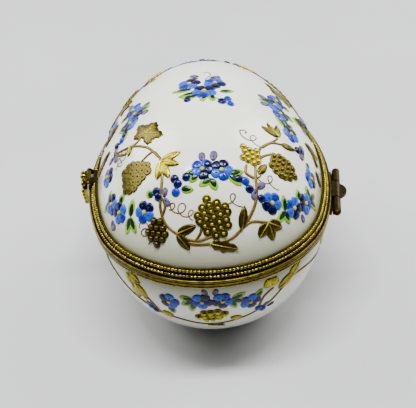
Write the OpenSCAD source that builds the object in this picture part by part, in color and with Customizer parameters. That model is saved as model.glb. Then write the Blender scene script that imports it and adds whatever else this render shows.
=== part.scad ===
// Egg-shaped porcelain trinket box, lying on its long side, with a hinged lid and a hanging bunch clasp.
// Origin: centre of the flat foot. +Z up, +Y towards the slimmer end, hinge on +X, clasp on -X.

/* [Overall size] */
// Half the width over the brass band at its widest
band_half_w = 29; // [26:0.5:33]
// From the widest point to the blunt end, over the band
front_reach = 38; // [35:0.5:42]
// From the widest point to the slim end, over the band
back_reach = 45; // [42:0.5:50]
// From the centre line to the centre of the long side arcs
side_centre = 36.8; // [34:0.2:42]
// Lid height above the parting plane
lid_height = 24; // [22:0.5:25.5]
// Base depth below the parting plane, down to the flat foot
base_depth = 27.5; // [25:0.5:28.5]

/* [Porcelain] */
// Wall thickness
wall = 2.6; // [2:0.1:3]
// Floor thickness over the foot
floor_t = 3; // [2:0.2:4]

/* [Band] */
// How far the band stands out past the porcelain at the widest point
band_out = 1.65; // [1.6:0.05:1.8]
// Height of the band on the lid
lid_band_h = 2.7; // [2.6:0.05:2.9]
// Height of the band on the base
base_band_h = 1.5; // [1.48:0.02:1.8]
// Gap between the lid band and the base band
parting_gap = 0.2; // [0.1:0.05:0.3]
// Thickness of the flanges that cap the porcelain rims
flange_t = 0.5; // [0.4:0.05:0.6]
// Radius of the upper milled wire on the lid
upper_wire_r = 0.38; // [0.32:0.02:0.4]
// Radius of the middle milled wire on the lid
middle_wire_r = 0.35; // [0.29:0.02:0.37]
// Radius of the plain wire at the lid's rim
rim_wire_r = 0.33; // [0.3:0.01:0.34]
// Radius of the milled wire on the base
base_wire_r = 0.34; // [0.32:0.01:0.36]
// Thickness of the closing lip
lip_t = 0.45; // [0.3:0.05:0.6]
// How far the closing lip stands above the parting plane
lip_rise = 1.8; // [1:0.1:1.9]

/* [Hinge] */
// Angle of the hinge along the +X side arc
hinge_a = -6.5; // [-7:0.5:4]
// Outer radius of the knuckles
knuckle_r = 0.95; // [0.9:0.05:1]
// Radius of the hinge pin
hinge_pin_r = 0.4; // [0.3:0.05:0.45]
// Length of the lid's centre knuckle
centre_knuckle_l = 6; // [5:0.2:7]
// Length of each outer knuckle on the base
outer_knuckle_l = 4.8; // [3:0.2:5]
// Gap between neighbouring knuckles
knuckle_gap = 0.3; // [0.2:0.05:0.4]
// How far the stop leaf reaches out from the hinge axis
stop_reach = 2.4; // [2.2:0.1:2.6]

/* [Clasp] */
// Angle of the clasp along the -X side arc
clasp_a = 1; // [-6:0.5:6]
// Width of the strap on the lid band
strap_w = 5; // [4.6:0.1:6]
// Radius of the clasp pin
clasp_pin_r = 0.3; // [0.2:0.05:0.35]
// Radius of the clasp eye round its pin
eye_r = 0.6; // [0.5:0.05:0.65]
// Thickness of the upper half of the hanging tongue
tongue_t = 0.4; // [0.3:0.05:0.5]
// Radius of the grapes on the tongue
grape_r = 0.74; // [0.6:0.01:0.75]

/* [Hidden] */
$fn = 96;
far = 200;
// running clearance of pins in their bores
pin_fit = 0.05;
// gap kept between moving brass pieces
move_gap = 0.15;
// half the angle of the butt joint between two stretches of band
joint_a = 0.01;

// porcelain egg: half-width and reaches of its widest section
half_w = band_half_w - band_out;
front = front_reach - band_out;
back = back_reach - band_out;
// parting plane, and the egg's own axis a little below it
part_z = base_depth;
axis_z = part_z - (half_w - lid_height);

// Four arcs make the egg: two long sides, a blunt end and a slim end. Each end's centre is where its arc
// runs smoothly into the side arcs.
function end_centre(reach) = (reach - half_w) * (2 * side_centre - (reach - half_w))
    / (2 * (side_centre - (reach - half_w)));
front_c = end_centre(front);
back_c = end_centre(back);
front_r = front - front_c;
back_r = back - back_c;
side_r = side_centre + half_w;
front_a = atan2(front_c, side_centre);
back_a = atan2(back_c, side_centre);

// band profile, in (out past the porcelain's widest line, up from the parting plane)
half_gap = parting_gap / 2;
rim_v = half_gap + flange_t;
flange_in = -3.25;
lip_out = -3.55;
lean = -0.57;
lid_foot_u = 1.15;
slope_len = sqrt(1 + lean * lean);
// point on the lid band's sloping face at height v, moved d outwards along its normal
function slope(v, d = 0) = [
    lid_foot_u + lean * (v - half_gap) + d / slope_len,
    v - d * lean / slope_len
];
wire_lift = 0.18;
upper_wire_c = slope(2.2, wire_lift);
middle_wire_c = slope(1.25, wire_lift);
rim_wire_c = [band_out - rim_wire_r, 0.45];
base_wire_c = [1.12, -1.12];
groove_r = 0.1;
upper_groove_c = slope(1.72);
lower_groove_c = slope(0.82);
lip_edge_t = 0.28;
base_out = 1.5;
base_step_v = -0.6;
catch_r = 0.29;

// hinge, with its axis in the parting plane
hinge_u = band_out + knuckle_r + move_gap;
hinge_x = half_w + hinge_u;
outer_start = centre_knuckle_l / 2 + knuckle_gap;
outer_end = outer_start + outer_knuckle_l;
cap_r = 0.85;
leaf_out = 2.1;
web_in = 1.75;

// clasp, modelled on +X and mirrored to -X
clasp_pin_c = [1.65, 2.9];
clasp_pin_x = half_w + clasp_pin_c[0];
clasp_pin_z = part_z + clasp_pin_c[1];
strap_d = 0.95;
ear_t = 0.6;
// the tongue's upper half hangs in front of the ears, its lower half is a thicker casting behind the grapes
tongue_in = 2.45;
cast_in = 2;
cast_top_v = 1.25;
eye_half_l = strap_w / 2 - ear_t - move_gap;
grape_pitch = 1.5;
row_pitch = 1.55;
grape_rows = [2, 3, 4, 3, 2, 1];
first_row_v = 3.2;

porcelain = [0.93, 0.93, 0.90];
brass = [0.66, 0.53, 0.20];
dark_brass = [0.45, 0.36, 0.14];
gilt = [0.75, 0.60, 0.22];

// ---- shared shapes ----

// half outline of the egg about its long axis, every arc moved out by d
module egg_outline(d) {
    front_dir = [cos(front_a), -sin(front_a)];
    back_dir = [cos(back_a), sin(back_a)];
    intersection() {
        translate([0, -front_c]) circle(r = front_r + d);
        polygon([[0, -front_c], [0, -front_c] + far * front_dir, [0, -far]]);
    }
    intersection() {
        translate([-side_centre, 0]) circle(r = side_r + d);
        polygon([[0, -front_c], [0, -front_c] + far * front_dir, [0, back_c] + far * back_dir, [0, back_c]]);
    }
    intersection() {
        translate([0, back_c]) circle(r = back_r + d);
        polygon([[0, back_c], [0, back_c] + far * back_dir, [0, far]]);
    }
}

// solid egg lying along Y
module egg(d) {
    translate([0, 0, axis_z]) rotate([-90, 0, 0]) rotate_extrude() egg_outline(d);
}

// everything between two heights
module slab(z0, z1) {
    translate([-far / 2, -far / 2, z0]) cube([far, far, z1 - z0]);
}

// a profile run along part of the +X side, between two distances along Y
module side_run(y0, y1) {
    a0 = asin(y0 / side_r);
    a1 = asin(y1 / side_r);
    translate([-side_centre, 0, part_z]) rotate([0, 0, a0]) rotate_extrude(angle = a1 - a0)
        translate([side_r, 0]) children();
}

// one stretch of band: a profile turned about an arc's centre, from angle a0 to a1
module stretch(r, a0, a1) {
    rotate([0, 0, a0 + joint_a]) rotate_extrude(angle = a1 - a0 - 2 * joint_a) translate([r, 0]) children();
}

// turns what is built at the widest point of the +X side along that side's arc
module along_side(a) {
    translate([-side_centre, 0, 0]) rotate([0, 0, a]) translate([side_centre, 0, 0]) children();
}

module at_hinge() {
    along_side(hinge_a) children();
}

module at_clasp() {
    mirror([1, 0, 0]) along_side(clasp_a) children();
}

// a profile run all round the egg's plan, in four stretches that meet at fine butt joints
module plan_ring() {
    translate([0, -front_c, part_z]) stretch(front_r, front_a - 180, -front_a) children();
    translate([0, back_c, part_z]) stretch(back_r, back_a, 180 - back_a) children();
    for (side = [0, 1]) mirror([side, 0, 0])
        translate([-side_centre, 0, part_z]) stretch(side_r, -front_a, back_a) children();
}

// half ball standing on the XY plane
module dome(r) {
    rotate_extrude($fn = 48) intersection() {
        circle(r = r);
        square(r);
    }
}

module wire_section(c, r) {
    translate(c) circle(r = r, $fn = 32);
}

// rod along Y between y0 and y1
module rod_y(x, z, r, y0, y1) {
    translate([x, y0, z]) rotate([-90, 0, 0]) cylinder(r = r, h = y1 - y0, $fn = 48);
}

// ---- base ----

module base_shell() {
    color(porcelain) difference() {
        intersection() {
            egg(0);
            slab(0, part_z - rim_v);
        }
        intersection() {
            egg(-wall);
            slab(floor_t, part_z + 1);
        }
    }
}

module base_bezel() {
    foot_v = -base_band_h;
    color(brass) plan_ring() difference() {
        polygon([[lip_out, -rim_v], [lip_out, -half_gap], [base_out, -half_gap], [base_out, base_step_v],
            [0.95, -0.85], [0.85, foot_v], [0.05, foot_v], [0.05, -rim_v]]);
        wire_section(base_wire_c, base_wire_r);
    }
}

module base_milled_wire() {
    color(brass) plan_ring() wire_section(base_wire_c, base_wire_r);
}

module closing_lip() {
    color(brass) plan_ring() translate([lip_out - lip_t, -lip_rise]) square([lip_t, 2 * lip_rise]);
}

module base_hinge_leaf() {
    plate_v = -0.68;
    plate_h = 0.53;
    web_h = 0.7;
    color(brass) at_hinge() difference() {
        for (y0 = [-outer_end, outer_start]) {
            y1 = y0 + outer_knuckle_l;
            side_run(y0, y1) translate([base_out, plate_v]) square([leaf_out - base_out, plate_h]);
            rod_y(hinge_x, part_z, knuckle_r, y0, y1);
            translate([half_w + web_in, y0, part_z - knuckle_r + 0.1])
                cube([hinge_u - web_in, outer_knuckle_l, web_h]);
        }
        rod_y(hinge_x, part_z, hinge_pin_r + pin_fit, -outer_end - 1, outer_end + 1);
    }
}

module base_stop_leaf() {
    half_l = centre_knuckle_l / 2 - 0.2;
    // set in from the hinge axis so that the two stop leaves meet a little past upright
    face_u = hinge_u - 0.65;
    top_v = -1.15;
    low_v = -3.4;
    round_r = 2.8;
    color(brass) at_hinge() intersection() {
        side_run(-half_l, half_l) difference() {
            polygon([[1.3, top_v], [face_u, top_v], [face_u, low_v], [1.65, low_v], [1.65, -1.5], [1.3, -1.5]]);
            wire_section(base_wire_c, base_wire_r);
        }
        // the lower edge is rounded like a leaf
        translate([0, 0, part_z + low_v + round_r]) rotate([0, 90, 0]) cylinder(r = round_r, h = far);
    }
}

module hinge_pin() {
    color(brass) at_hinge() rod_y(hinge_x, part_z, hinge_pin_r, -outer_end, outer_end);
}

// domed end of the hinge pin, side -1 in front and 1 behind
module hinge_cap(side) {
    color(dark_brass) at_hinge() translate([hinge_x, side * outer_end, part_z])
        rotate([-90 * side, 0, 0]) dome(cap_r);
}

module hinge_cap_front() {
    hinge_cap(-1);
}

module hinge_cap_back() {
    hinge_cap(1);
}

module catch_bead() {
    color(brass) at_clasp()
        translate([half_w + base_out, 0, part_z - 0.4]) rotate([0, 90, 0]) dome(catch_r);
}

// ---- lid ----

module lid_shell() {
    color(porcelain) difference() {
        intersection() {
            egg(0);
            slab(part_z + rim_v, part_z + far);
        }
        egg(-wall);
    }
}

module lid_bezel() {
    top = slope(lid_band_h);
    color(brass) plan_ring() difference() {
        polygon([[flange_in, half_gap], slope(half_gap), top, [top[0] - lip_edge_t, lid_band_h],
            [-0.1, rim_v], [flange_in, rim_v]]);
        wire_section(upper_wire_c, upper_wire_r);
        wire_section(middle_wire_c, middle_wire_r);
        wire_section(rim_wire_c, rim_wire_r);
        wire_section(upper_groove_c, groove_r);
        wire_section(lower_groove_c, groove_r);
    }
}

module lid_upper_wire() {
    color(brass) plan_ring() wire_section(upper_wire_c, upper_wire_r);
}

module lid_middle_wire() {
    color(brass) plan_ring() wire_section(middle_wire_c, middle_wire_r);
}

module lid_rim_wire() {
    color(brass) plan_ring() wire_section(rim_wire_c, rim_wire_r);
}

module lid_hinge_leaf() {
    half_l = centre_knuckle_l / 2;
    plate_v = 0.2;
    plate_h = 0.6;
    web_h = 0.7;
    color(brass) at_hinge() difference() {
        union() {
            side_run(-half_l, half_l) difference() {
                translate([base_out, plate_v]) square([leaf_out - base_out, plate_h]);
                wire_section(rim_wire_c, rim_wire_r);
            }
            rod_y(hinge_x, part_z, knuckle_r, -half_l, half_l);
            translate([half_w + web_in, -half_l, part_z + plate_v]) cube([hinge_u - web_in, 2 * half_l, web_h]);
        }
        rod_y(hinge_x, part_z, hinge_pin_r + pin_fit, -half_l - 1, half_l + 1);
    }
}

module lid_stop_leaf() {
    leaf_t = 0.7;
    half_l = centre_knuckle_l / 2 - 0.05;
    // the arc that runs from one end of the leaf, over its outermost point, to the other end
    arc_r = (half_l * half_l + stop_reach * stop_reach) / (2 * stop_reach);
    color(dark_brass) at_hinge() difference() {
        translate([hinge_x, 0, part_z - leaf_t / 2]) linear_extrude(leaf_t) intersection() {
            translate([stop_reach - arc_r, 0]) circle(r = arc_r);
            translate([0.2, -half_l]) square([stop_reach, 2 * half_l]);
        }
        rod_y(hinge_x, part_z, knuckle_r, -half_l - 1, half_l + 1);
    }
}

module strap_section() {
    difference() {
        polygon([slope(0.35), slope(2.6), slope(2.6, strap_d), slope(0.35, strap_d)]);
        wire_section(upper_wire_c, upper_wire_r);
        wire_section(middle_wire_c, middle_wire_r);
        wire_section(rim_wire_c, rim_wire_r);
    }
}

module clasp_strap() {
    half = strap_w / 2;
    ear_r = eye_r + 0.05;
    ear_d = strap_d - 0.2;
    color(brass) at_clasp() difference() {
        union() {
            side_run(-half, half) strap_section();
            for (y0 = [-half, half - ear_t]) {
                rod_y(clasp_pin_x, clasp_pin_z, ear_r, y0, y0 + ear_t);
                translate([half_w, y0 + ear_t, part_z]) rotate([90, 0, 0]) linear_extrude(ear_t)
                    polygon([slope(1.6, ear_d), slope(2.55, ear_d), clasp_pin_c + [0, ear_r],
                        clasp_pin_c + [ear_r, 0]]);
            }
        }
        rod_y(clasp_pin_x, clasp_pin_z, clasp_pin_r, -half - 1, half + 1);
    }
}

module clasp_pin() {
    color(brass) at_clasp() rod_y(clasp_pin_x, clasp_pin_z, clasp_pin_r, -strap_w / 2, strap_w / 2);
}

// ---- clasp ----

// outline of the hanging bunch, in (along Y, up from the parting plane)
module bunch_outline() {
    translate([0, 2.6]) circle(r = 1.3);
    translate([0, 1.4]) circle(r = 2.2);
    circle(r = 2.75);
    translate([0, -1.8]) circle(r = 2);
    translate([0, -3.2]) circle(r = 1.3);
    translate([0, -4.5]) circle(r = 0.7);
}

module clasp_tongue() {
    neck_h = 0.9;
    color(gilt) at_clasp() difference() {
        union() {
            rod_y(clasp_pin_x, clasp_pin_z, eye_r, -eye_half_l, eye_half_l);
            translate([clasp_pin_x, -eye_half_l, clasp_pin_z - neck_h / 2])
                cube([tongue_in + tongue_t / 2 - clasp_pin_c[0], 2 * eye_half_l, neck_h]);
            translate([half_w + tongue_in, 0, part_z]) rotate([90, 0, 90])
                linear_extrude(tongue_t) bunch_outline();
            translate([half_w + cast_in, 0, part_z]) rotate([90, 0, 90])
                linear_extrude(tongue_in + tongue_t - cast_in) intersection() {
                    bunch_outline();
                    translate([-far, cast_top_v - far]) square([2 * far, far]);
                }
        }
        rod_y(clasp_pin_x, clasp_pin_z, clasp_pin_r + pin_fit, -strap_w, strap_w);
    }
}

module grape_bunch() {
    face_x = half_w + tongue_in + tongue_t;
    color(gilt) at_clasp()
        for (row = [0 : len(grape_rows) - 1], i = [0 : grape_rows[row] - 1])
            translate([face_x, (i - (grape_rows[row] - 1) / 2) * grape_pitch,
                part_z + first_row_v - row * row_pitch])
                rotate([0, 90, 0]) dome(grape_r);
}

base_shell();
base_bezel();
base_milled_wire();
closing_lip();
base_hinge_leaf();
base_stop_leaf();
hinge_pin();
hinge_cap_front();
hinge_cap_back();
catch_bead();
lid_shell();
lid_bezel();
lid_upper_wire();
lid_middle_wire();
lid_rim_wire();
lid_hinge_leaf();
lid_stop_leaf();
clasp_strap();
clasp_pin();
clasp_tongue();
grape_bunch();
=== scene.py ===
import math
import random

import bpy
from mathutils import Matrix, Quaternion, Vector


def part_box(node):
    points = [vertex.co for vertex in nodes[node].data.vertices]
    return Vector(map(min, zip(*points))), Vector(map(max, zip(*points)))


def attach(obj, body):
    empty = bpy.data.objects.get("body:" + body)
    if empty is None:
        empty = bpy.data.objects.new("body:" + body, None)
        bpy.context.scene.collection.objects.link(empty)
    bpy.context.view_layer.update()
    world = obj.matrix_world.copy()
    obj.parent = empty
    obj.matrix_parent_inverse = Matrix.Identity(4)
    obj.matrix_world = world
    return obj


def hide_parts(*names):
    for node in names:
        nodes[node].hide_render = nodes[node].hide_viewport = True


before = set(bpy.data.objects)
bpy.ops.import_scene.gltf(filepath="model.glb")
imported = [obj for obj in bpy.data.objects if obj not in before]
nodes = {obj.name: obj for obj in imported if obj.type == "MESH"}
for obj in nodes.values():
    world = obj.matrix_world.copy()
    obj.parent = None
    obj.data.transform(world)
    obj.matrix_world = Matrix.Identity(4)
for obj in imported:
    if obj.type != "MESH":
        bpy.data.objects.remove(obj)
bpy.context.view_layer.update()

MM = 0.001

# ---------------------------------------------------------------------------
# The egg: four arcs turned about a level axis, as the CAD shells are
# ---------------------------------------------------------------------------

base_low, base_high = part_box("base_shell")
lid_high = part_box("lid_shell")[1]
HALF_W = base_high.x
AXIS_Z = lid_high.z - HALF_W
PART_Z = (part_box("base_bezel")[1].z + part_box("lid_bezel")[0].z) / 2
SIDE_CENTRE = 36.8 * MM
SIDE_R = SIDE_CENTRE + HALF_W


def end_centre(reach):
    """How far out an end arc's centre lies, for the egg's reach at that end."""
    spare = reach - HALF_W
    return spare * (2 * SIDE_CENTRE - spare) / (2 * (SIDE_CENTRE - spare))


FRONT_C = end_centre(-base_low.y)
BACK_C = end_centre(base_high.y)
FRONT_R = -base_low.y - FRONT_C
BACK_R = base_high.y - BACK_C
FRONT_A = math.atan2(FRONT_C, SIDE_CENTRE)
BACK_A = math.atan2(BACK_C, SIDE_CENTRE)


def arc_for(out, y):
    """Centre (out, y) and radius of the arc that a point belongs to."""
    a = math.atan2(y, out + SIDE_CENTRE)
    if a < -FRONT_A:
        return 0.0, -FRONT_C, FRONT_R
    if a > BACK_A:
        return 0.0, BACK_C, BACK_R
    return -SIDE_CENTRE, 0.0, SIDE_R


def settle(p, lift=0.0):
    """The nearest point of the egg's surface to p, raised by lift, and the normal there."""
    z = p.z - AXIS_Z
    out = math.hypot(p.x, z)
    c_out, c_y, r = arc_for(out, p.y)
    d = Vector((out - c_out, p.y - c_y)).normalized()
    new_out = c_out + d.x * (r + lift)
    new_y = c_y + d.y * (r + lift)
    cx, cz = p.x / out, z / out
    point = Vector((cx * new_out, new_y, AXIS_Z + cz * new_out))
    return point, Vector((d.x * cx, d.y, d.x * cz))


class PlanTrack:
    """The egg's plan as four arcs, by distance along it."""

    def __init__(self, offset):
        self.stretches = [
            (Vector((0, -FRONT_C)), FRONT_R + offset, -math.pi / 2, -FRONT_A),
            (Vector((-SIDE_CENTRE, 0)), SIDE_R + offset, -FRONT_A, BACK_A),
            (Vector((0, BACK_C)), BACK_R + offset, BACK_A, math.pi - BACK_A),
            (Vector((SIDE_CENTRE, 0)), SIDE_R + offset, math.pi - BACK_A, math.pi + FRONT_A),
            (Vector((0, -FRONT_C)), FRONT_R + offset, math.pi + FRONT_A, math.pi * 1.5),
        ]
        self.length = sum(r * (b - a) for _, r, a, b in self.stretches)

    def at(self, distance):
        """Point in plan and outward direction at a distance along the track."""
        distance %= self.length
        for centre, r, a, b in self.stretches:
            span = r * (b - a)
            if distance <= span:
                t = a + distance / r
                out = Vector((math.cos(t), math.sin(t)))
                return centre + out * r, out
            distance -= span
        return self.at(0.0)


# ---------------------------------------------------------------------------
# Materials
# ---------------------------------------------------------------------------


def new_material(name):
    m = bpy.data.materials.new(name)
    m.use_nodes = True
    tree = m.node_tree
    shader = tree.nodes["Principled BSDF"]
    return m, tree, shader


def add(tree, kind, **values):
    n = tree.nodes.new(kind)
    for key, value in values.items():
        if key in n.inputs:
            n.inputs[key].default_value = value
        else:
            setattr(n, key, value)
    return n


def object_noise(tree, scale, detail=4.0, roughness=0.55):
    coords = add(tree, "ShaderNodeTexCoord")
    n = add(tree, "ShaderNodeTexNoise", Scale=scale, Detail=detail, Roughness=roughness)
    tree.links.new(coords.outputs["Object"], n.inputs["Vector"])
    return n


def ramp(tree, source, *stops):
    n = add(tree, "ShaderNodeValToRGB")
    while len(n.color_ramp.elements) < len(stops):
        n.color_ramp.elements.new(0.5)
    for e, (place, colour) in zip(n.color_ramp.elements, stops):
        e.position = place
        e.color = (*colour, 1)
    tree.links.new(source, n.inputs["Fac"])
    return n


def grey(v):
    return (v, v, v)


def bump(tree, shader, height, distance, strength=0.5):
    b = add(tree, "ShaderNodeBump", Strength=strength, Distance=distance)
    tree.links.new(height, b.inputs["Height"])
    tree.links.new(b.outputs["Normal"], shader.inputs["Normal"])


def blend(tree, mask, first, second, mode="MIX"):
    """Colour going from first to second as mask goes from 0 to 1; each is a socket or a colour."""
    n = add(tree, "ShaderNodeMix", data_type="RGBA", blend_type=mode)
    for source, socket in ((first, n.inputs[6]), (second, n.inputs[7])):
        if isinstance(source, tuple):
            socket.default_value = (*source, 1)
        else:
            tree.links.new(source, socket)
    tree.links.new(mask, n.inputs[0])
    return n.outputs[2]


BAND_SHADE_AND_GRIME_REACH = 10 * MM


def porcelain_material():
    """Warm white glaze with soft waviness, faint stains, a few iron specks, and painted shade beside the
    band.
    """
    m, tree, s = new_material("glazed_porcelain")
    s.inputs["IOR"].default_value = 1.5
    s.inputs["Coat Weight"].default_value = 0.3
    s.inputs["Coat Roughness"].default_value = 0.12
    tint = object_noise(tree, 60.0)
    glaze = ramp(tree, tint.outputs["Fac"], (0.3, (0.72, 0.73, 0.62)), (0.7, (0.77, 0.775, 0.68)))
    specks = object_noise(tree, 900.0, 2.0)
    speck_mask = ramp(tree, specks.outputs["Fac"], (0.74, grey(0)), (0.8, grey(1)))
    colour = blend(tree, speck_mask.outputs["Color"], glaze.outputs["Color"], (0.5, 0.47, 0.38))
    # painted shade and a painted reflection of the dark band, with some greenish grime, darken the glaze near
    # the band
    coords = add(tree, "ShaderNodeTexCoord")
    axes = add(tree, "ShaderNodeSeparateXYZ")
    tree.links.new(coords.outputs["Object"], axes.inputs[0])
    height = add(tree, "ShaderNodeMath", operation="SUBTRACT")
    tree.links.new(axes.outputs["Z"], height.inputs[0])
    height.inputs[1].default_value = PART_Z
    away = add(tree, "ShaderNodeMath", operation="ABSOLUTE")
    tree.links.new(height.outputs[0], away.inputs[0])
    scaled = add(tree, "ShaderNodeMath", operation="MULTIPLY")
    tree.links.new(away.outputs[0], scaled.inputs[0])
    scaled.inputs[1].default_value = 1 / BAND_SHADE_AND_GRIME_REACH
    darkest_by_band, paler_farther_out = (0.20, 0.21, 0.11), (0.52, 0.53, 0.41)
    band_shade_and_grime = ramp(tree, scaled.outputs[0], (0.22, darkest_by_band), (0.42, paler_farther_out), (0.95, grey(1.0)))
    always = add(tree, "ShaderNodeValue")
    always.outputs[0].default_value = 1.0
    colour = blend(tree, always.outputs[0], colour, band_shade_and_grime.outputs["Color"], "MULTIPLY")
    tree.links.new(colour, s.inputs["Base Color"])
    rough = ramp(tree, tint.outputs["Fac"], (0.3, grey(0.16)), (0.7, grey(0.26)))
    tree.links.new(rough.outputs["Color"], s.inputs["Roughness"])
    waves = object_noise(tree, 120.0, 2.0)
    bump(tree, s, waves.outputs["Fac"], 0.0002, 0.3)
    return m


TARNISH_SCALE = 900.0
CREVICE = 0.6 * MM


def brass_material(name, bright, dark, rough_low, rough_high):
    """Old gilt brass: bright where rubbed, brown where tarnish has settled, near black in the crevices with
    tarnish and painted shade.
    """
    m, tree, s = new_material(name)
    s.inputs["Metallic"].default_value = 1.0
    tarnish = object_noise(tree, TARNISH_SCALE, 6.0, 0.65)
    face = ramp(tree, tarnish.outputs["Fac"], (0.35, dark), (0.62, bright))
    # crevices found by the AO node are darkened: painted shade laid over the tarnish in the hollows
    open_sky = add(tree, "ShaderNodeAmbientOcclusion", samples=8, Distance=CREVICE)
    crevice_shade_and_tarnish = ramp(tree, open_sky.outputs["AO"], (0.35, grey(1)), (0.8, grey(0)))
    colour = blend(tree, crevice_shade_and_tarnish.outputs["Color"], face.outputs["Color"], tuple(0.25 * c for c in dark))
    tree.links.new(colour, s.inputs["Base Color"])
    rough = ramp(tree, tarnish.outputs["Fac"], (0.35, grey(rough_high)), (0.65, grey(rough_low)))
    tree.links.new(rough.outputs["Color"], s.inputs["Roughness"])
    fine = object_noise(tree, TARNISH_SCALE * 4, 3.0)
    bump(tree, s, fine.outputs["Fac"], 0.00004, 0.4)
    return m


BRUSH_SCALE = 1400.0
BRUSH_SWING = 0.5


def enamel_material(name, low, middle, high, metallic=0.0, rough=(0.12, 0.3), coat=0.15):
    """Raised paint or gilding, shaded by each stroke's tone and broken up by brush marks."""
    m, tree, s = new_material(name)
    s.inputs["Metallic"].default_value = metallic
    s.inputs["Coat Weight"].default_value = coat
    s.inputs["Coat Roughness"].default_value = 0.08
    s.inputs["Specular IOR Level"].default_value = 0.15
    tone = add(tree, "ShaderNodeAttribute", attribute_name="tone")
    brush = object_noise(tree, BRUSH_SCALE, 3.0)
    shift = add(tree, "ShaderNodeMath", operation="MULTIPLY_ADD")
    tree.links.new(brush.outputs["Fac"], shift.inputs[0])
    shift.inputs[1].default_value = BRUSH_SWING
    shift.inputs[2].default_value = -BRUSH_SWING / 2
    total = add(tree, "ShaderNodeMath", operation="ADD")
    tree.links.new(tone.outputs["Fac"], total.inputs[0])
    tree.links.new(shift.outputs[0], total.inputs[1])
    colour = ramp(tree, total.outputs[0], (0.05, low), (0.5, middle), (0.95, high))
    tree.links.new(colour.outputs["Color"], s.inputs["Base Color"])
    worn = ramp(tree, brush.outputs["Fac"], (0.3, grey(rough[0])), (0.7, grey(rough[1])))
    tree.links.new(worn.outputs["Color"], s.inputs["Roughness"])
    bump(tree, s, brush.outputs["Fac"], 0.00006, 0.35)
    return m


porcelain = porcelain_material()
band_brass = brass_material("band_brass", (0.15, 0.115, 0.010), (0.04, 0.029, 0.003), 0.25, 0.42)
milled_brass = brass_material("milled_brass", (0.36, 0.285, 0.018), (0.08, 0.062, 0.004), 0.15, 0.3)
dark_brass = brass_material("dark_brass", (0.06, 0.04, 0.005), (0.02, 0.012, 0.003), 0.3, 0.5)
clasp_gilt = brass_material("clasp_gilt", (0.36, 0.29, 0.006), (0.11, 0.085, 0.002), 0.12, 0.25)

gilding = enamel_material(
    "raised_gilding", (0.022, 0.014, 0.001), (0.12, 0.095, 0.002), (0.56, 0.46, 0.010),
    metallic=0.85, rough=(0.22, 0.42), coat=0.1)
blue_enamel = enamel_material(
    "blue_enamel", (0.001, 0.001, 0.02), (0.001, 0.013, 0.27), (0.012, 0.085, 0.52))
green_enamel = enamel_material(
    "green_enamel", (0.002, 0.016, 0.002), (0.015, 0.09, 0.006), (0.2, 0.42, 0.012))
mauve_enamel = enamel_material(
    "mauve_enamel", (0.01, 0.005, 0.02), (0.05, 0.035, 0.10), (0.16, 0.14, 0.23))
yellow_enamel = enamel_material(
    "yellow_enamel", (0.1, 0.1, 0.003), (0.3, 0.3, 0.01), (0.6, 0.62, 0.1))
stem_gilding = enamel_material(
    "stem_gilding", (0.02, 0.008, 0.003), (0.085, 0.05, 0.006), (0.26, 0.18, 0.015),
    metallic=0.6, rough=(0.3, 0.5), coat=0.1)

CAD_LOOKS = {
    "base_shell": porcelain,
    "lid_shell": porcelain,
    "base_bezel": band_brass,
    "lid_bezel": band_brass,
    "closing_lip": band_brass,
    "lid_rim_wire": band_brass,
    "base_milled_wire": milled_brass,
    "lid_upper_wire": milled_brass,
    "lid_middle_wire": milled_brass,
    "base_hinge_leaf": dark_brass,
    "lid_hinge_leaf": dark_brass,
    "base_stop_leaf": dark_brass,
    "lid_stop_leaf": dark_brass,
    "hinge_pin": dark_brass,
    "hinge_cap_front": dark_brass,
    "hinge_cap_back": dark_brass,
    "catch_bead": milled_brass,
    "clasp_strap": dark_brass,
    "clasp_pin": milled_brass,
    "clasp_tongue": clasp_gilt,
    "grape_bunch": clasp_gilt,
}
for name, look in CAD_LOOKS.items():
    nodes[name].data.materials.clear()
    nodes[name].data.materials.append(look)

# ---------------------------------------------------------------------------
# Mesh building
# ---------------------------------------------------------------------------


class Builder:
    """Collects vertices and faces, and makes one smooth object of them."""

    def __init__(self):
        self.verts = []
        self.faces = []
        self.tones = []

    def add(self, verts, faces, tones=None):
        start = len(self.verts)
        self.verts.extend(verts)
        self.faces.extend([tuple(i + start for i in f) for f in faces])
        self.tones.extend(tones or [0.5] * len(verts))

    def make(self, name, material, body):
        mesh = bpy.data.meshes.new(name)
        mesh.from_pydata([tuple(v) for v in self.verts], [], self.faces)
        mesh.polygons.foreach_set("use_smooth", [True] * len(mesh.polygons))
        mesh.attributes.new("tone", "FLOAT", "POINT").data.foreach_set("value", self.tones)
        mesh.materials.append(material)
        obj = bpy.data.objects.new(name, mesh)
        bpy.context.scene.collection.objects.link(obj)
        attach(obj, body)
        return obj


def ball(builder, centre, radius, axis, stretch=1.0, rings=6, sides=10):
    """A rounded bead, stretched along axis."""
    turn = axis.to_track_quat("Z", "Y")
    verts = [centre + turn @ Vector((0, 0, radius * stretch))]
    for i in range(1, rings):
        lat = math.pi * i / rings
        for j in range(sides):
            lon = 2 * math.pi * j / sides
            local = Vector((math.sin(lat) * math.cos(lon), math.sin(lat) * math.sin(lon),
                            math.cos(lat) * stretch))
            verts.append(centre + turn @ (local * radius))
    verts.append(centre - turn @ Vector((0, 0, radius * stretch)))
    faces = []
    for j in range(sides):
        faces.append((0, 1 + j, 1 + (j + 1) % sides))
    for i in range(rings - 2):
        a, b = 1 + i * sides, 1 + (i + 1) * sides
        for j in range(sides):
            k = (j + 1) % sides
            faces.append((a + j, b + j, b + k, a + k))
    last, a = len(verts) - 1, 1 + (rings - 2) * sides
    for j in range(sides):
        faces.append((last, a + (j + 1) % sides, a + j))
    builder.add(verts, faces)


# ---------------------------------------------------------------------------
# Milled bead wires round the band
# ---------------------------------------------------------------------------

BEAD_PITCH = 0.82 * MM
BEAD_FILL = 0.97
BEAD_REACH = 0.56


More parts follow.
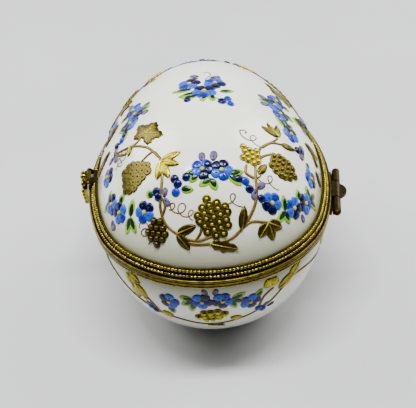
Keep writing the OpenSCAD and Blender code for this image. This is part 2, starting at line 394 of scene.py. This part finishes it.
def beaded_wire(name, node, body, slant):
    """A row of beads in place of a plain CAD wire, each bead leaning over by slant."""
    low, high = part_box(node)
    radius = (high.z - low.z) / 2
    z = (high.z + low.z) / 2
    offset = high.x - radius - HALF_W
    track = PlanTrack(offset)
    count = round(track.length / BEAD_PITCH)
    step = track.length / count
    b = Builder()
    for i in range(count):
        plan, out = track.at(i * step)
        along = Vector((-out.y, out.x, 0))
        axis = along * math.cos(slant) + Vector((0, 0, math.sin(slant)))
        ball(b, Vector((plan.x, plan.y, z)), radius * BEAD_FILL, axis, step * BEAD_REACH / radius)
    obj = b.make(name, milled_brass, body)
    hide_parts(node)


beaded_wire("lid_upper_beads", "lid_upper_wire", "lid", math.radians(20))
beaded_wire("lid_middle_beads", "lid_middle_wire", "lid", 0.0)
beaded_wire("base_beads", "base_milled_wire", "base", 0.0)

# ---------------------------------------------------------------------------
# Places on the glaze
# ---------------------------------------------------------------------------


def is_inside(p):
    z = p.z - AXIS_Z
    out = math.hypot(p.x, z)
    c_out, c_y, r = arc_for(out, p.y)
    return math.hypot(out - c_out, p.y - c_y) < r


EGG_SEARCH_REACH = 60 * MM
EGG_SEARCH_STEPS = 24


def on_egg(lon, lat):
    """The point of the egg seen from the middle of the parting plane at lon and lat, in degrees.

    lon is 0 at the front and grows towards the hinge; lat is 90 at the top of the lid.
    """
    a, b = math.radians(lon), math.radians(lat)
    ahead = Vector((math.sin(a) * math.cos(b), -math.cos(a) * math.cos(b), math.sin(b)))
    middle = Vector((0, 0, PART_Z))
    near, far = 0.0, EGG_SEARCH_REACH
    for _ in range(EGG_SEARCH_STEPS):
        t = (near + far) / 2
        if is_inside(middle + ahead * t):
            near = t
        else:
            far = t
    return middle + ahead * near


class Spot:
    """Flat axes in mm laid on the glaze at a point: x to the viewer's right, y up the egg."""

    def __init__(self, point, upward=Vector((0, 0, 1))):
        self.origin, normal = settle(point)
        self.up = (upward - upward.dot(normal) * normal).normalized()
        self.right = self.up.cross(normal)

    def at(self, x, y, lift=0.0):
        return settle(self.origin + (self.right * x + self.up * y) * MM, lift * MM)

    def beside(self, x, y):
        """Another spot with the same upward direction, x and y away from this one."""
        return Spot(self.at(x, y)[0], self.up)


def spot(lon, lat):
    return Spot(on_egg(lon, lat))


def turned(outline, turn, x=0.0, y=0.0):
    """An outline that grew along +y, pointed at turn degrees (0 right, 90 up) and moved to (x, y)."""
    a = math.radians(turn - 90)
    c, s = math.cos(a), math.sin(a)
    return [(x + px * c - py * s, y + px * s + py * c) for px, py in outline]


# ---------------------------------------------------------------------------
# Brush strokes
# ---------------------------------------------------------------------------

EDGE_SINK = 0.06


def pad(builder, place, outline, height, edge_tone, top_tone, flat=False):
    """A low patch of enamel with the given outline, domed or flat on top."""
    cx = sum(x for x, _ in outline) / len(outline)
    cy = sum(y for _, y in outline) / len(outline)
    shoulder = 1.0 if flat else 0.5
    rings = (
        (1.0, -EDGE_SINK),
        (0.94, height * shoulder),
        (0.72, height * max(shoulder, 0.85)),
        (0.38, height),
    )
    verts, tones = [], []
    for i, (share, lift) in enumerate(rings):
        for x, y in outline:
            verts.append(place.at(cx + (x - cx) * share, cy + (y - cy) * share, lift)[0])
            tones.append(edge_tone + (top_tone - edge_tone) * i / len(rings))
    verts.append(place.at(cx, cy, height)[0])
    tones.append(top_tone)
    count = len(outline)
    faces = []
    for i in range(len(rings) - 1):
        for j in range(count):
            k = (j + 1) % count
            faces.append((i * count + j, i * count + k, (i + 1) * count + k, (i + 1) * count + j))
    last = (len(rings) - 1) * count
    for j in range(count):
        faces.append((last + j, last + (j + 1) % count, len(verts) - 1))
    builder.add(verts, faces, tones)


def petal_outline(length, width, count=14):
    """Round petal from (0, 0) to (0, length), widest beyond its middle."""
    points = []
    for i in range(count):
        t = 2 * math.pi * i / count
        points.append((width / 2 * math.sin(t) * (1 - 0.2 * math.cos(t)), length / 2 * (1 - math.cos(t))))
    return points


def leaf_outline(length, width, teeth=0, depth=0.0, count=24):
    """Leaf from (0, 0) to (0, length) that comes to a point, with a toothed edge if asked."""
    points = []
    for i in range(count):
        share = 2 * i / count
        side = 1 if share <= 1 else -1
        along = share if share <= 1 else 2 - share
        half = width / 2 * math.sin(math.pi * along ** 0.85) ** 0.6
        if teeth:
            half *= 1 - depth * (0.5 + 0.5 * math.cos(2 * math.pi * teeth * along))
        points.append((side * half, length * along))
    return points


def round_outline(radius, count=12):
    return [(radius * math.cos(2 * math.pi * i / count), radius * math.sin(2 * math.pi * i / count))
            for i in range(count)]


def smooth_run(points, steps=8):
    """A smooth curve through points of any dimension."""
    ends = [points[0]] + list(points) + [points[-1]]
    run = []
    for i in range(len(points) - 1):
        p0, p1, p2, p3 = [Vector(p) for p in ends[i:i + 4]]
        for j in range(steps):
            t = j / steps
            run.append(0.5 * (2 * p1 + (p2 - p0) * t + (2 * p0 - 5 * p1 + 4 * p2 - p3) * t * t
                              + (3 * p1 - p0 - 3 * p2 + p3) * t ** 3))
    run.append(Vector(points[-1]))
    return run


def stroke(builder, path, widths, height, tone):
    """A raised line along (point, normal) pairs, its width in mm running from widths[0] to widths[1]."""
    section = ((-1.0, -0.2), (-0.65, 0.7), (0.0, 1.0), (0.65, 0.7), (1.0, -0.2))
    edge_tones = (tone - 0.3, tone, tone + 0.15, tone, tone - 0.3)
    verts, faces, tones = [], [], []
    last = len(path) - 1
    for i, (point, normal) in enumerate(path):
        ahead = path[min(i + 1, last)][0] - path[max(i - 1, 0)][0]
        side = ahead.cross(normal).normalized()
        half = (widths[0] + (widths[1] - widths[0]) * i / last) / 2 * MM
        for (across, lift), t in zip(section, edge_tones):
            verts.append(point + side * (half * across) + normal * (height * MM * lift))
            tones.append(t)
    n = len(section)
    for i in range(last):
        for j in range(n - 1):
            a = i * n + j
            faces.append((a, a + 1, a + n + 1, a + n))
    builder.add(verts, faces, tones)


class Paints:
    """One builder for each colour on one body."""

    def __init__(self, body):
        self.body = body
        self.gold = Builder()
        self.blue = Builder()
        self.green = Builder()
        self.mauve = Builder()
        self.yellow = Builder()
        self.stem = Builder()

    def make(self):
        looks = (("gilding", self.gold, gilding), ("blue_flowers", self.blue, blue_enamel),
                 ("green_leaves", self.green, green_enamel), ("mauve_leaves", self.mauve, mauve_enamel),
                 ("flower_centres", self.yellow, yellow_enamel), ("vine_stems", self.stem, stem_gilding))
        for name, builder, look in looks:
            builder.make(self.body + "_" + name, look, self.body)


# ---------------------------------------------------------------------------
# Motifs
# ---------------------------------------------------------------------------

rng = random.Random(7)
NAVY, COBALT, SKY = 0.05, 0.5, 0.85
PETALS = (SKY, COBALT, SKY, NAVY, NAVY)


def jitter(size):
    return rng.uniform(-size, size)


def flower(paints, place, size, turn):
    """Five round petals, two of them navy, with a yellow-green middle."""
    petal_length, petal_width, petal_start = 2.3 * size, 2.35 * size, 0.3 * size
    mark_length, mark_width, mark_start = 1.0 * size, 0.5 * size, 0.8 * size
    middle_radius = 0.55 * size
    for i, tone in enumerate(PETALS):
        a = turn + 360 / len(PETALS) * i + jitter(6)
        c, s = math.cos(math.radians(a)), math.sin(math.radians(a))
        petal = turned(petal_outline(petal_length, petal_width), a, petal_start * c, petal_start * s)
        pad(paints.blue, place, petal, 0.3, tone + 0.15, tone - 0.1)
        mark = turned(petal_outline(mark_length, mark_width, 8), a, mark_start * c, mark_start * s)
        pad(paints.blue, place, mark, 0.36, tone - 0.2, tone - 0.35)
    pad(paints.yellow, place, round_outline(middle_radius), 0.5, 0.35, 0.75)


def berry(paints, place, radius, tone):
    """A round raised bead of blue enamel with a lighter rim on one side."""
    rim = turned(round_outline(radius * 1.12), 90, 0.1, -0.12)
    pad(paints.blue, place, rim, 0.25, tone + 0.5, tone + 0.3)
    pad(paints.blue, place, round_outline(radius), 0.5, tone + 0.1, tone)


GREEN_STRETCH = 1.2


def green_leaf(paints, place, turn, length, width=2.0, tone=0.85):
    """A lime leaf with a darker brush stroke down one half."""
    length *= GREEN_STRETCH
    pad(paints.green, place, turned(leaf_outline(length, width), turn), 0.18, tone, tone + 0.1)
    inner = turned(leaf_outline(length * 0.8, width * 0.7), turn, 0.1, 0.05)
    pad(paints.green, place, inner, 0.26, tone - 0.75, tone - 0.8)


def mauve_leaf(paints, place, turn, length):
    """A round-ended mauve bud with a darker mark along it."""
    pad(paints.mauve, place, turned(petal_outline(length, length * 0.62), turn), 0.22, 0.45, 0.8)
    pad(paints.mauve, place, turned(petal_outline(length * 0.6, length * 0.22, 8), turn), 0.28, 0.2, 0.3)


def gold_leaf(paints, place, turn, length, width, tone=0.5, teeth=0):
    """A raised gilt leaf with a midrib."""
    pad(paints.gold, place, turned(leaf_outline(length, width, teeth, 0.3), turn), 0.3, tone - 0.25, tone)
    rib = turned([(0.0, length * t / 6) for t in range(7)], turn)
    stroke(paints.gold, [place.at(x, y, 0.28) for x, y in rib], (0.35, 0.1), 0.16, tone + 0.3)


def gold_bunch(paints, place, rows, pitch, bead, tone, turn, painted_top_highlight):
    """A bunch of grapes in raised gilding, its rows running down the egg from the top one, each grape's top
    tone shifted as a painted highlight.
    """
    field_height, row_drop, loose = 0.22, 0.88 * pitch, 0.12
    a = math.radians(turn)
    c, s = math.cos(a), math.sin(a)
    for row, count in enumerate(rows):
        for i in range(count):
            x = (i - (count - 1) / 2) * pitch + jitter(loose)
            y = ((len(rows) - 1) / 2 - row) * row_drop + jitter(loose)
            x, y = x * c - y * s, x * s + y * c
            field = [(x + px, y + py) for px, py in round_outline(pitch * 0.68)]
            pad(paints.gold, place, field, field_height, tone - 0.1, tone, flat=True)
            grape = [(x + px, y + py) for px, py in round_outline(bead, 10)]
            # the last value lightens each grape's top as a painted highlight, and darkens it as painted shade
            # where it is below zero
            pad(paints.gold, place, grape, field_height + bead * 0.75, tone, tone + painted_top_highlight)


def vine_leaf(paints, place, radius, turn):
    """A broad lobed and toothed gilt leaf with five veins."""
    tone, count, veins = 0.45, 60, 5
    outline = []
    for i in range(count):
        t = 2 * math.pi * i / count
        lobes = 0.86 + 0.14 * math.cos(5 * t) + 0.05 * math.cos(20 * t)
        notch = 0.25 * max(0.0, -math.cos(t)) ** 6
        r = radius * (lobes - notch)
        outline.append((1.1 * r * math.sin(-t), 0.72 * r * math.cos(t)))
    pad(paints.gold, place, turned(outline, turn), 0.28, tone - 0.25, tone)
    for k in range(veins):
        t = 2 * math.pi * (k - veins // 2) / veins
        tip = (0.9 * radius * math.sin(t), 0.6 * radius * math.cos(t))
        line = turned([(tip[0] * j / 5, tip[1] * j / 5) for j in range(6)], turn)
        stroke(paints.gold, [place.at(x, y, 0.26) for x, y in line], (0.3, 0.1), 0.12, tone + 0.25)


VINE_WIDTHS = (0.85, 0.6)
TENDRIL_WIDTHS = (0.38, 0.22)
TENDRIL_RADIUS = 1.25


def vine(paints, points):
    """A raised stem through (lon, lat) points."""
    path = [settle(on_egg(p.x, p.y)) for p in smooth_run(points)]
    stroke(paints.stem, path, VINE_WIDTHS, 0.22, 0.55)


def tendril(paints, start, end, loops):
    """A fine curl that runs from start to end, looping in between."""
    place = spot((start[0] + end[0]) / 2, (start[1] + end[1]) / 2)
    ends = []
    for lon, lat in (start, end):
        offset = on_egg(lon, lat) - place.origin
        ends.append((offset.dot(place.right) / MM, offset.dot(place.up) / MM))
    (x0, y0), (x1, y1) = ends
    steps = 14 * loops + 8
    path = []
    for i in range(steps + 1):
        t = i / steps
        swell = TENDRIL_RADIUS * min(1.0, 4 * t, 4 * (1 - t))
        phase = 2 * math.pi * loops * t
        x = x0 + (x1 - x0) * t + swell * math.sin(phase)
        y = y0 + (y1 - y0) * t + swell * (1 - math.cos(phase))
        path.append(place.at(x, y))
    stroke(paints.stem, path, TENDRIL_WIDTHS, 0.12, 0.5)


# ---------------------------------------------------------------------------
# The lid's garland, in degrees round from the front and up from the parting plane
# ---------------------------------------------------------------------------

lid_paints = Paints("lid")

# Places are in whole degrees, lengths in mm and turns in degrees.
# Leaves that spring from one point are a fan.

# lon, lat
GARLAND_FLOWERS = (
    (-3, 40), (7, 39), (-28, 21), (-42, 16), (-50, 16), (26, 22), (36, 16), (44, 14), (58, 18),
    (-65, 22), (72, 38),
)
# lon, lat, tones
BERRY_CLUSTERS = (
    (-15, 34, (NAVY, NAVY, COBALT, NAVY)), (-23, 28, (NAVY, NAVY)), (0, 42, (NAVY,)),
    (17, 33, (COBALT, NAVY, NAVY)), (22, 25, (NAVY,)), (-77, 39, (COBALT, NAVY, NAVY)),
    (66, 30, (NAVY, NAVY)),
)
# lon, lat, length, turns
GREEN_FANS = (
    (-6, 38, 2.0, (175, -120)), (1, 36, 2.4, (-70, -150)), (10, 37, 3.0, (-5, -60)),
    (-13, 32, 2.6, (5,)), (-26, 27, 2.0, (150,)), (-35, 17, 3.3, (105, -85, -40)), (-44, 19, 2.2, (90,)),
    (-53, 15, 2.8, (120, -110)), (31, 17, 2.8, (65, -160, -95)), (41, 17, 2.2, (65,)),
    (48, 13, 3.0, (65, -10, -70)), (-85, 44, 2.8, (80, -120)), (75, 42, 2.8, (60, -40)),
    (63, 24, 1.8, (-125,)),
)
# lon, lat, length, turns
MAUVE_FANS = (
    (-3, 43, 2.6, (95,)), (3, 43, 2.8, (75,)), (-20, 28, 2.3, (-40, 105)), (-46, 11, 2.5, (-65, -40)),
    (21, 29, 2.7, (-130, 5)), (39, 12, 2.2, (-90,)), (-71, 31, 2.7, (10, 150, -95)),
    (66, 27, 2.7, (35, 160)),
)
# lon, lat, rows, pitch, bead, tone, turn, painted highlight on the grape tops (painted shade where below
# zero)
GOLD_BUNCHES = (
    (1, 22, (1, 3, 5, 5, 4, 4, 2), 1.5, 0.42, 0.42, 15, 0.55),
    (-41, 33, (2, 3, 4, 5, 5, 4), 1.55, 0.26, 0.4, -30, -0.3),
    (-21, 15, (2, 3, 4, 3, 1), 1.35, 0.6, 0.2, 10, 0.1),
    (26, 43, (1, 2, 4, 3, 2), 1.25, 0.5, 0.6, -10, 0.45),
    (42, 31, (3, 4, 4, 4, 3, 1), 1.45, 0.55, 0.4, 15, 0.1),
)
# lon, lat, length, width, tone, teeth, turns
GOLD_FANS = (
    (-28, 42, 5.0, 2.0, 0.8, 0, (60, 20, -25, -60)), (-13, 16, 4.6, 2.2, 0.3, 0, (30, -45)),
    (-1, 13, 7.0, 3.0, 0.35, 3, (-15,)), (11, 16, 5.4, 2.1, 0.35, 0, (70,)),
    (22, 16, 4.3, 2.6, 0.37, 0, (-145, -90, -40)), (57, 43, 4.4, 1.8, 0.4, 0, (20, 60, 90)),
    (25, 34, 3.8, 1.9, 0.4, 0, (15,)), (53, 40, 4.8, 1.9, 0.4, 0, (-60,)),
    (-62, 42, 3.0, 1.8, 0.45, 0, (-30,)), (74, 14, 4.5, 2.0, 0.4, 5, (50,)), (66, 8, 4.0, 1.8, 0.4, 5, (70,)),
    (-98, 20, 7.3, 3.2, 0.45, 6, (100,)), (96, 16, 7.8, 3.2, 0.4, 6, (85,)),
)
VINES = (
    ((-72, 32), (-60, 42), (-45, 46), (-32, 44), (-28, 42)),
    ((-72, 32), (-62, 36), (-58, 41)),
    ((-60, 42), (-58, 46), (-59, 50)),
    ((-32, 44), (-38, 45), (-42, 39)),
    ((-28, 42), (-24, 36), (-22, 29), (-21, 24), (-18, 19), (-13, 16), (-6, 14), (2, 16)),
    ((-22, 29), (-19, 25), (-20, 20)),
    ((-13, 16), (-8, 13), (0, 13), (7, 14), (12, 17), (16, 18), (22, 16)),
    ((13, 18), (18, 23), (21, 28), (23, 33), (26, 38), (32, 42), (38, 44), (55, 43)),
    ((26, 38), (33, 40), (41, 39)),
    ((38, 44), (48, 43), (58, 36), (64, 29)),
    ((22, 33), (19, 36), (21, 39)),
    ((-6, 21), (-4, 20), (-4, 17), (-6, 14)),
)
# start, end, loops
TENDRILS = (
    ((-17, 24), (-7, 21), 3), ((-64, 36), (-60, 28), 3), ((33, 54), (38, 43), 2),
    ((7, 26), (13, 24), 1), ((24, 33), (32, 25), 2), ((-24, 10), (-29, 15), 2),
)
VINE_LEAF_PLACE = (-57, 52)
VINE_LEAF_RADIUS = 4.8
VINE_LEAF_TURN = 115


def green_fan(paints, place, length, turns):
    for turn in turns:
        green_leaf(paints, place, turn, length * rng.uniform(0.9, 1.1), tone=rng.uniform(0.75, 0.95))


def mauve_fan(paints, place, length, turns):
    for turn in turns:
        mauve_leaf(paints, place, turn, length)


def gold_fan(paints, place, length, width, tone, teeth, turns):
    for turn in turns:
        gold_leaf(paints, place, turn, length * rng.uniform(0.9, 1.1), width, tone, teeth)


GOLDEN_ANGLE = 137.5
BERRY_SPACING = 1.35
BERRY_RADIUS = 0.92


def berry_cluster(paints, place, tones):
    """Berries packed round the first one, each a golden angle on from the last."""
    for i, tone in enumerate(tones):
        a = math.radians(GOLDEN_ANGLE * i)
        out = BERRY_SPACING * math.sqrt(i)
        berry(paints, place.beside(out * math.cos(a), out * math.sin(a)), BERRY_RADIUS, tone)


def paint_garland(paints, round_by, droop=1.0):
    """The garland and the vine that crosses it, turned round the egg and hung lower by droop."""
    def here(lon, lat):
        return spot(lon + round_by, lat * droop)

    def moved(points):
        return [(lon + round_by, lat * droop) for lon, lat in points]

    for points in VINES:
        vine(paints, moved(points))
    for start, end, loops in TENDRILS:
        tendril(paints, *moved((start, end)), loops)
    for lon, lat, *leaf in GOLD_FANS:
        gold_fan(paints, here(lon, lat), *leaf)
    for lon, lat, *bunch in GOLD_BUNCHES:
        gold_bunch(paints, here(lon, lat), *bunch)
    vine_leaf(paints, here(*VINE_LEAF_PLACE), VINE_LEAF_RADIUS, VINE_LEAF_TURN)
    for lon, lat, length, turns in GREEN_FANS:
        green_fan(paints, here(lon, lat), length, turns)
    for lon, lat, length, turns in MAUVE_FANS:
        mauve_fan(paints, here(lon, lat), length, turns)
    for lon, lat in GARLAND_FLOWERS:
        flower(paints, here(lon, lat), 1.0, rng.uniform(0, 360))
    for lon, lat, tones in BERRY_CLUSTERS:
        berry_cluster(paints, here(lon, lat), tones)


def paint_side_cluster(paints, lon):
    """The garland's peak above the hinge or the clasp."""
    for step, lat, turn in ((-9, 46, 60), (0, 49, 140), (9, 46, 20)):
        flower(paints, spot(lon + step, lat), 1.0, turn)
    for step, lat, turn in ((-14, 43, 200), (-5, 43, -100), (5, 43, -70), (14, 43, -20), (0, 52, 90)):
        green_leaf(paints, spot(lon + step, lat), turn, 2.6)
    for step, lat, turn in ((-4, 53, 110), (5, 53, 70)):
        mauve_leaf(paints, spot(lon + step, lat), turn, 2.5)


def paint_bouquet(paints):
    """The small bouquet on top of the lid, laid out in mm on a level plan."""
    top = Spot(Vector((0.4, 3.0, 100)) * MM, Vector((0, 1, 0)))
    greens = ((-3, 1, 170, 4.0), (-1.5, -0.5, 190, 4.0), (-1, -1.5, 200, 3.4), (-2, -2.5, 170, 3.0),
              (1.5, -2, -80, 2.4), (3.5, -0.5, 15, 3.0), (0.5, -2, -120, 2.4))
    mauves = ((-1, 8, 150, 2.6), (-1.2, 7, 190, 2.8), (1.5, 6.5, 30, 3.0), (1.8, 6, 10, 2.4))
    flowers = ((-3.4, 4.3, 1.1, 150), (2.6, 3.7, 1.05, 60), (0, -0.3, 1.2, 190))
    berries = ((-4, -3.2, 0.8, NAVY), (3.9, -4.6, 1.0, NAVY), (5.3, -3.4, 0.85, COBALT),
               (5.9, -5.4, 0.8, COBALT))
    stalks = (((1.5, -2), (3, -3.5), (5, -4.5)), ((-1.5, -1.5), (-3, -2.5), (-4, -3.2)),
              ((0.5, -1), (0, -3.5), (-0.2, -5)), ((0.3, 3), (0.5, 6), (1.8, 9), (1.2, 11), (0, 10.5)))
    for x, y, turn, length in greens:
        green_leaf(paints, top.beside(x, y), turn, length, 1.7, rng.uniform(0.7, 0.95))
    for x, y, turn, length in mauves:
        mauve_leaf(paints, top.beside(x, y), turn, length)
    for x, y, size, turn in flowers:
        flower(paints, top.beside(x, y), size, turn)
    for x, y, radius, tone in berries:
        berry(paints, top.beside(x, y), radius, tone)
    for points in stalks:
        path = [top.at(p.x, p.y) for p in smooth_run(points)]
        stroke(paints.mauve, path, (0.3, 0.15), 0.1, 0.3)


BACK_DROOP = 0.68
SIDE_PEAK = 97

paint_garland(lid_paints, 0)
paint_garland(lid_paints, 180, BACK_DROOP)
paint_side_cluster(lid_paints, SIDE_PEAK)
paint_side_cluster(lid_paints, -SIDE_PEAK)
paint_bouquet(lid_paints)
lid_paints.make()

# ---------------------------------------------------------------------------
# The base's garland, four times round
# ---------------------------------------------------------------------------

base_paints = Paints("base")

BASE_VINES = (
    ((-45, -13), (-27, -20), (-14, -23), (-4, -25), (8, -23), (19, -18), (30, -10), (45, -13)),
    ((-22, -22), (-25, -16), (-31, -10)),
    ((15, -20), (17, -13), (21, -10)),
)
# lon, lat, length, turns
BASE_GOLD = (
    (-35, -6, 4.5, (-60, -20)), (-31, -9, 5.0, (-60, -95)), (20, -9, 3.0, (115, 60)), (23, -12, 6.0, (30,)),
    (28, -10, 5.2, (45,)), (-18, -23, 2.7, (120,)), (6, -23, 2.4, (60,)),
)
# lon, lat, length, turns
BASE_GREEN = (
    (-8, -10, 3.0, (160, -150, -100)), (5, -10, 3.0, (25, -20, -70)), (-17, -15, 2.2, (-80,)),
    (14, -12, 2.4, (60,)),
)
# lon, lat, turn
BASE_MAUVE = (
    (-3, -7, 120), (-1, -7, 60), (-24, -19, 150), (-26, -20, 110), (17, -19, 40), (19, -20, 10),
)
BASE_FLOWERS = ((-5, -10), (2, -10), (-17, -12), (12, -13))
BASE_BERRIES = ((-24, -21), (17, -20))


def paint_base_quarter(paints, round_by):
    """One quarter of the base's garland, turned round the egg."""
    def here(lon, lat):
        return spot(lon + round_by, lat)

    for points in BASE_VINES:
        vine(paints, [(lon + round_by, lat) for lon, lat in points])
    gold_leaf(paints, here(-4, -25), -15, 4.0, 1.2, 0.25)
    for lon, lat, length, turns in BASE_GOLD:
        gold_fan(paints, here(lon, lat), length, 3.1, 0.7, 0, turns)
    gold_bunch(paints, here(-2, -18), (3, 5, 3), 1.5, 0.7, 0.6, 10, 0.2)
    for lon, lat, length, turns in BASE_GREEN:
        green_fan(paints, here(lon, lat), length, turns)
    for lon, lat, turn in BASE_MAUVE:
        mauve_leaf(paints, here(lon, lat), turn, 2.0)
    for lon, lat in BASE_FLOWERS:
        flower(paints, here(lon, lat), 0.97, rng.uniform(0, 360))
    for lon, lat in BASE_BERRIES:
        berry_cluster(paints, here(lon, lat), (NAVY, COBALT))


for quarter in range(4):
    paint_base_quarter(base_paints, 90 * quarter)
base_paints.make()

# ---------------------------------------------------------------------------
# Camera, lights and table
# ---------------------------------------------------------------------------

CAMERA_PLACE = Vector((1.2, -189.8, 161.0)) * MM
CAMERA_AIM = Vector((-0.7, -3.3, 23.0)) * MM
CAMERA_ROLL = math.radians(-4.0)
CAMERA_LENS = 83.0


def add_camera():
    data = bpy.data.cameras.new("camera")
    data.lens = CAMERA_LENS
    data.sensor_width = 36.0
    data.clip_start = 0.01
    data.clip_end = 10.0
    cam = bpy.data.objects.new("camera", data)
    bpy.context.scene.collection.objects.link(cam)
    ahead = (CAMERA_AIM - CAMERA_PLACE).normalized()
    cam.rotation_mode = "QUATERNION"
    level = ahead.to_track_quat("-Z", "Y")
    cam.rotation_quaternion = Quaternion(ahead, -CAMERA_ROLL) @ level
    cam.location = CAMERA_PLACE
    bpy.context.scene.camera = cam


def area_light(name, place, aim, size, power):
    data = bpy.data.lights.new(name, "AREA")
    data.shape = "RECTANGLE"
    data.size, data.size_y = size
    data.energy = power
    light = bpy.data.objects.new(name, data)
    bpy.context.scene.collection.objects.link(light)
    light.location = place
    light.rotation_mode = "QUATERNION"
    light.rotation_quaternion = (Vector(aim) - Vector(place)).to_track_quat("-Z", "Y")


def add_floor():
    """A pale sheet that lies under the box and curves up far behind it."""
    m, tree, s = new_material("pale_sheet")
    tint = object_noise(tree, 20.0)
    colour = ramp(tree, tint.outputs["Fac"], (0.3, (0.46, 0.465, 0.47)), (0.7, (0.49, 0.495, 0.50)))
    tree.links.new(colour.outputs["Color"], s.inputs["Base Color"])
    s.inputs["Roughness"].default_value = 0.6
    half, front, top = 1.5, -1.2, 1.5
    bend_y, bend_r, bend_steps = 0.35, 0.4, 12
    section = [(front, 0.0), (bend_y, 0.0)]
    for i in range(1, bend_steps + 1):
        a = math.pi / 2 * i / bend_steps
        section.append((bend_y + bend_r * math.sin(a), bend_r * (1 - math.cos(a))))
    section.append((bend_y + bend_r, top))
    verts = [(x, y, z) for y, z in section for x in (-half, half)]
    faces = [(2 * i, 2 * i + 1, 2 * i + 3, 2 * i + 2) for i in range(len(section) - 1)]
    mesh = bpy.data.meshes.new("sheet")
    mesh.from_pydata(verts, [], faces)
    mesh.polygons.foreach_set("use_smooth", [True] * len(mesh.polygons))
    mesh.materials.append(m)
    floor = bpy.data.objects.new("sheet", mesh)
    bpy.context.scene.collection.objects.link(floor)


def add_world():
    world = bpy.data.worlds.new("studio")
    bpy.context.scene.world = world
    world.use_nodes = True
    background = world.node_tree.nodes["Background"]
    background.inputs["Color"].default_value = (0.85, 0.87, 0.9, 1)
    background.inputs["Strength"].default_value = 0.01


add_camera()
add_floor()
add_world()
area_light("overhead_strip", (0.0, -0.05, 0.6), (0, 0, 0.03), (0.42, 0.08), 7.5)
for name, side in (("rear_left", -0.5), ("rear_right", 0.5)):
    area_light(name, (side, 0.3, 0.45), (0, 0, 0.02), (0.5, 0.5), 6.2)

bpy.context.view_layer.update()
